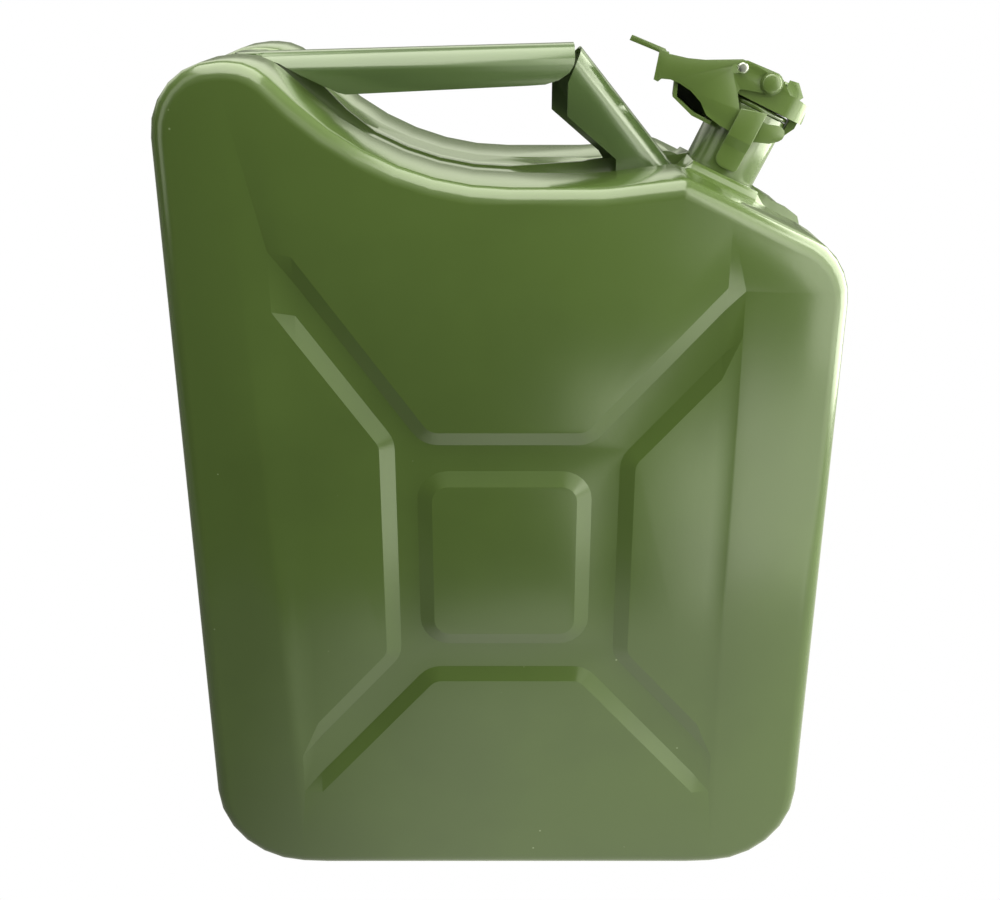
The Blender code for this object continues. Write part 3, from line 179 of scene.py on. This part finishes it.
def refined(node, name, body, material, rounding, segments=2, angle=30):
    """A copy of a node's mesh, merged, cleared of flat edges and rounded at its real edges."""
    bpy.ops.object.select_all(action="DESELECT")
    source = frame["nodes"][node]
    source.select_set(True)
    bpy.context.view_layer.objects.active = source
    bpy.ops.object.duplicate()
    piece = bpy.context.view_layer.objects.active
    piece.name = name
    piece.parent = None
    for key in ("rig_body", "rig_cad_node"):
        if key in piece:
            del piece[key]
    bpy.ops.object.mode_set(mode="EDIT")
    bpy.ops.mesh.select_all(action="SELECT")
    bpy.ops.mesh.remove_doubles(threshold=MERGE_GAP)
    bpy.ops.mesh.dissolve_limited(angle_limit=FLAT_ANGLE)
    bpy.ops.object.mode_set(mode="OBJECT")
    edge = piece.modifiers.new("rounding", "BEVEL")
    edge.width = rounding
    edge.segments = segments
    edge.limit_method = "ANGLE"
    edge.angle_limit = radians(angle)
    edge.use_clamp_overlap = True
    edge.miter_outer = "MITER_ARC"
    bpy.ops.object.modifier_apply(modifier=edge.name)
    bpy.ops.object.shade_smooth_by_angle(angle=radians(angle))
    piece.data.materials.clear()
    piece.data.materials.append(material)
    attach(piece, body)
    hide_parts(node)


body_enamel = enamel("Body enamel", OLIVE, roughness=0.2, peel=0.2)
for node, name in (("front_shell", "front_half"), ("rear_shell", "rear_half")):
    refined(node, name, "can", body_enamel, rounding=1.6 * MM,
            segments=3, angle=20.5)


# Carrying handle
# One folded sheet of steel: a tongue welded on the crest, a grip with its edges folded down
# and a leg that stands on the shoulder beside the spout. Its olive is greyed as a painted
# reflection of a grey surround.

# Greyed olive: a painted grey reflection on the handle, not the paint's own tone.
OLIVE_GREYED_AS_PAINTED_REFLECTION = (0.08, 0.121, 0.046)
handle_enamel_painted_reflection = enamel("Handle enamel with painted reflection", OLIVE_GREYED_AS_PAINTED_REFLECTION, roughness=0.2, peel=0.2)
refined("carry_handle", "folded_handle", "can", handle_enamel_painted_reflection,
        rounding=0.35 * MM)


# Filler neck
# A steel tube brazed on the sloping shoulder, with a rolled ring round its mouth. Inside it a
# thin plated pipe lets air in while the can is poured.

ZINC = (0.78, 0.79, 0.76)
DULL = 0.75
DULL_ROUGHNESS = 0.15


def metal(name, base, roughness):
    """Bright plated steel with fine scratches and dull patches."""
    made = Material(name, Metallic=1.0)
    patch = made.noise(scale=180, detail=4).step(0.35, 0.7)
    dulled = (*[channel * DULL for channel in base], 1)
    made.set(Base_Color=made.blend(patch, (*base, 1), dulled),
             Roughness=roughness + DULL_ROUGHNESS * patch)
    made.bump(made.noise(scale=900, detail=3), depth=0.05 * MM, strength=0.4)
    return made.data


zinc = metal("Zinc plate", ZINC, roughness=0.25)
refined("filler_neck", "neck_tube", "can", body_enamel, rounding=0.3 * MM)
refined("mouth_ring", "neck_ring", "can", body_enamel, rounding=0.2 * MM)
refined("breather_pipe", "air_tube", "can", zinc, rounding=0.15 * MM)


# Catch straps and hinge bracket
# Bent steel strips welded on both sides of the neck, which the lever's hooks grip, and a
# bracket with its pin behind the neck. The closure's enamel is a shade lighter.

LIGHT_OLIVE = (0.108, 0.162, 0.042)
closure_enamel = enamel("Closure enamel", LIGHT_OLIVE, roughness=0.26, peel=0.16)
for node, name in (("front_catch_strap", "near_strap"), ("rear_catch_strap", "far_strap")):
    refined(node, name, "can", closure_enamel, rounding=0.45 * MM)
refined("hinge_bracket", "hinge_lugs", "can", closure_enamel,
        rounding=0.25 * MM)
refined("hinge_pin", "hinge_rod", "can", closure_enamel, rounding=0.2 * MM)


# Lid
# A pressed cap with a rubber gasket under it, held by two rivets beneath a folded steel
# carrier that swings about the hinge pin.

BLACK_RUBBER = (0.012, 0.012, 0.013, 1)
WORN_RUBBER = (0.03, 0.03, 0.03, 1)
RUBBER_ROUGHNESS = 0.55
WORN_ROUGHNESS = 0.2


def gasket_rubber():
    """Moulded black rubber with worn, dusty patches."""
    made = Material("Gasket rubber", Metallic=0.0)
    patch = made.noise(scale=120, detail=4)
    made.set(Base_Color=made.blend(patch, BLACK_RUBBER, WORN_RUBBER),
             Roughness=RUBBER_ROUGHNESS + WORN_ROUGHNESS * patch)
    made.bump(made.noise(scale=600, detail=3), depth=0.08 * MM, strength=0.4)
    return made.data


refined("lid_gasket", "sealing_ring", "lid", gasket_rubber(),
        rounding=0.3 * MM)
refined("lid_cap", "sealing_cap", "lid", closure_enamel, rounding=0.3 * MM)
refined("lid_carrier", "cap_carrier", "lid", closure_enamel,
        rounding=0.35 * MM, angle=26)
for node, name in (("left_lid_rivet", "cap_rivet_left"), ("right_lid_rivet", "cap_rivet_right")):
    refined(node, name, "lid", closure_enamel, rounding=0.3 * MM)


# Locking lever
# A folded steel lever with two cheeks, a web and a thumb tab, turning on a rivet that goes
# through the carrier with a washer under each head.

refined("lever_pivot", "pivot_rivet", "lid", closure_enamel,
        rounding=0.4 * MM, segments=3, angle=24)
for node, name in (("front_pivot_washer", "washer_front"), ("rear_pivot_washer", "washer_rear")):
    refined(node, name, "lid", closure_enamel, rounding=0.2 * MM)
refined("locking_lever", "cam_lever", "lever", closure_enamel,
        rounding=0.45 * MM)


# Safety pin
# A short zinc-plated pin that slides in the slot of the near cheek and keeps the lever from
# opening by itself.

refined("safety_pin", "lock_pin", "pin", zinc, rounding=0.3 * MM)


# Floor and room
# A white floor and a white room for the camera. What the enamel mirrors is dimmer and faintly
# green: a strip of bright floor on the right, light floor by the can and a glow at the back.

WHITE = (1, 1, 1, 1)
LIGHT_TINT = (0.95, 1, 0.8, 1)
FLOOR_SIZE = 6
CAN_ZONE = (-0.43, -0.35)
RIGHT_RISE = (-0.24, 0.0)
STRIP_FRONT = (-1.2, -0.75)
STRIP_LEFT = (0.07, 0.2)
DIM_FLOOR = 0.05
BY_CAN = 0.14
RIGHT_GAIN = 0.6
BRIGHT_STRIP = 1.7
DIM_ROOM = 0.03
BACK_WALL = 0.15
BACK_WINDOW = 0.9
FRONT_RIGHT = 0.8
FRONT_HIGH = 0.4
CEILING = 0.4


def axis(nodes, space, name):
    """One coordinate of a place on the floor, or of a direction in the room."""
    place = nodes.node("ShaderNodeTexCoord", output=space)
    return nodes.node("ShaderNodeSeparateXYZ", None, {0: place}, name)


def white_for_camera(nodes, glow):
    """Plain white for the camera and the tinted glow for every other ray."""
    camera_ray = nodes.node("ShaderNodeLightPath", output="Is Camera Ray")
    return {"Color": nodes.blend(camera_ray, LIGHT_TINT, WHITE),
            "Strength": camera_ray + (1 - camera_ray) * glow}


def floor_material():
    """A glow that rises between the places given above, in metres."""
    made = bpy.data.materials.new("Floor")
    made.use_nodes = True
    made.node_tree.nodes.remove(made.node_tree.nodes["Principled BSDF"])
    nodes = Nodes(made.node_tree)
    across = axis(nodes, "Object", "X")
    along = axis(nodes, "Object", "Y")
    by_can = along.step(*CAN_ZONE)
    strip = (1 - by_can) * along.step(*STRIP_FRONT) * across.step(*STRIP_LEFT)
    glow = DIM_FLOOR + by_can * (across.step(*RIGHT_RISE) * RIGHT_GAIN + BY_CAN)
    glow = glow + strip * BRIGHT_STRIP
    shown = nodes.node("ShaderNodeEmission", None, white_for_camera(nodes, glow))
    nodes.feed(made.node_tree.nodes["Material Output"], {"Surface": shown})
    return made


def room_light():
    """A glow that rises between directions, each given as a part of the unit vector."""
    world = bpy.data.worlds.new("studio")
    bpy.context.scene.world = world
    world.use_nodes = True
    nodes = Nodes(world.node_tree)
    across = axis(nodes, "Generated", "X")
    along = axis(nodes, "Generated", "Y")
    upward = axis(nodes, "Generated", "Z")
    front = 1 - along.step(-0.9, -0.5)
    window = along.step(0.2, 0.7) * upward.step(0.1, 0.22) * (1 - upward.step(0.45, 0.65))
    glow = DIM_ROOM + along.step(-0.35, 0.5) * BACK_WALL + window * BACK_WINDOW
    glow = glow + across.step(0.13, 0.32) * front * FRONT_RIGHT
    glow = glow + upward.step(0.15, 0.5) * front * FRONT_HIGH
    glow = glow + upward.step(0.5, 0.95) * CEILING
    nodes.feed(world.node_tree.nodes["Background"], white_for_camera(nodes, glow))


bpy.ops.object.select_all(action="DESELECT")
bpy.ops.mesh.primitive_plane_add(size=FLOOR_SIZE, location=(0, 0, 0))
floor = bpy.context.view_layer.objects.active
floor.name = "floor"
floor.data.materials.append(floor_material())
room_light()


# Soft panels
# Four studio panels: a wide one overhead for the grip and the crest, two on the right for the
# bright edge and a weak one on the left.

def panel(name, place, aim, size, power):
    light = bpy.data.lights.new(name, "AREA")
    light.shape = "RECTANGLE"
    light.size, light.size_y = size
    light.energy = power
    light.color = LIGHT_TINT[:3]
    made = bpy.data.objects.new(name, light)
    bpy.context.collection.objects.link(made)
    made.location = place
    made.rotation_euler = (Vector(aim) - Vector(place)).to_track_quat("-Z", "Y").to_euler()


panel("top_panel", place=(-0.2, -0.2, 1.3), aim=(-0.2, -0.2, 0.3), size=(1.1, 1.4), power=16)
panel("near_panel", place=(0.46, -0.4, 0.5), aim=(0.1, 0, 0.25), size=(0.4, 0.8), power=2.2)
panel("right_panel", place=(0.8, 0.05, 0.47), aim=(0.1, 0, 0.25), size=(0.9, 0.9), power=14)
panel("left_panel", place=(-0.9, -0.5, 0.7), aim=(0, 0, 0.3), size=(0.4, 1.0), power=1.2)


# Camera
# The camera stands close in front of the can and looks down on it, as the photograph does.

CAMERA_PLACE = (-0.004, -0.683, 0.515)
CAMERA_PITCH = 21.84
FILM_WIDTH = 36
FOCAL_LENGTH = 44.2

lens = bpy.data.cameras.new("camera")
lens.sensor_fit = "HORIZONTAL"
lens.sensor_width = FILM_WIDTH
lens.lens = FOCAL_LENGTH
view = bpy.data.objects.new("camera", lens)
bpy.context.collection.objects.link(view)
view.location = CAMERA_PLACE
view.rotation_euler = (radians(90 - CAMERA_PITCH), 0, 0)
bpy.context.scene.camera = view
bpy.context.scene.view_settings.view_transform = "Standard"
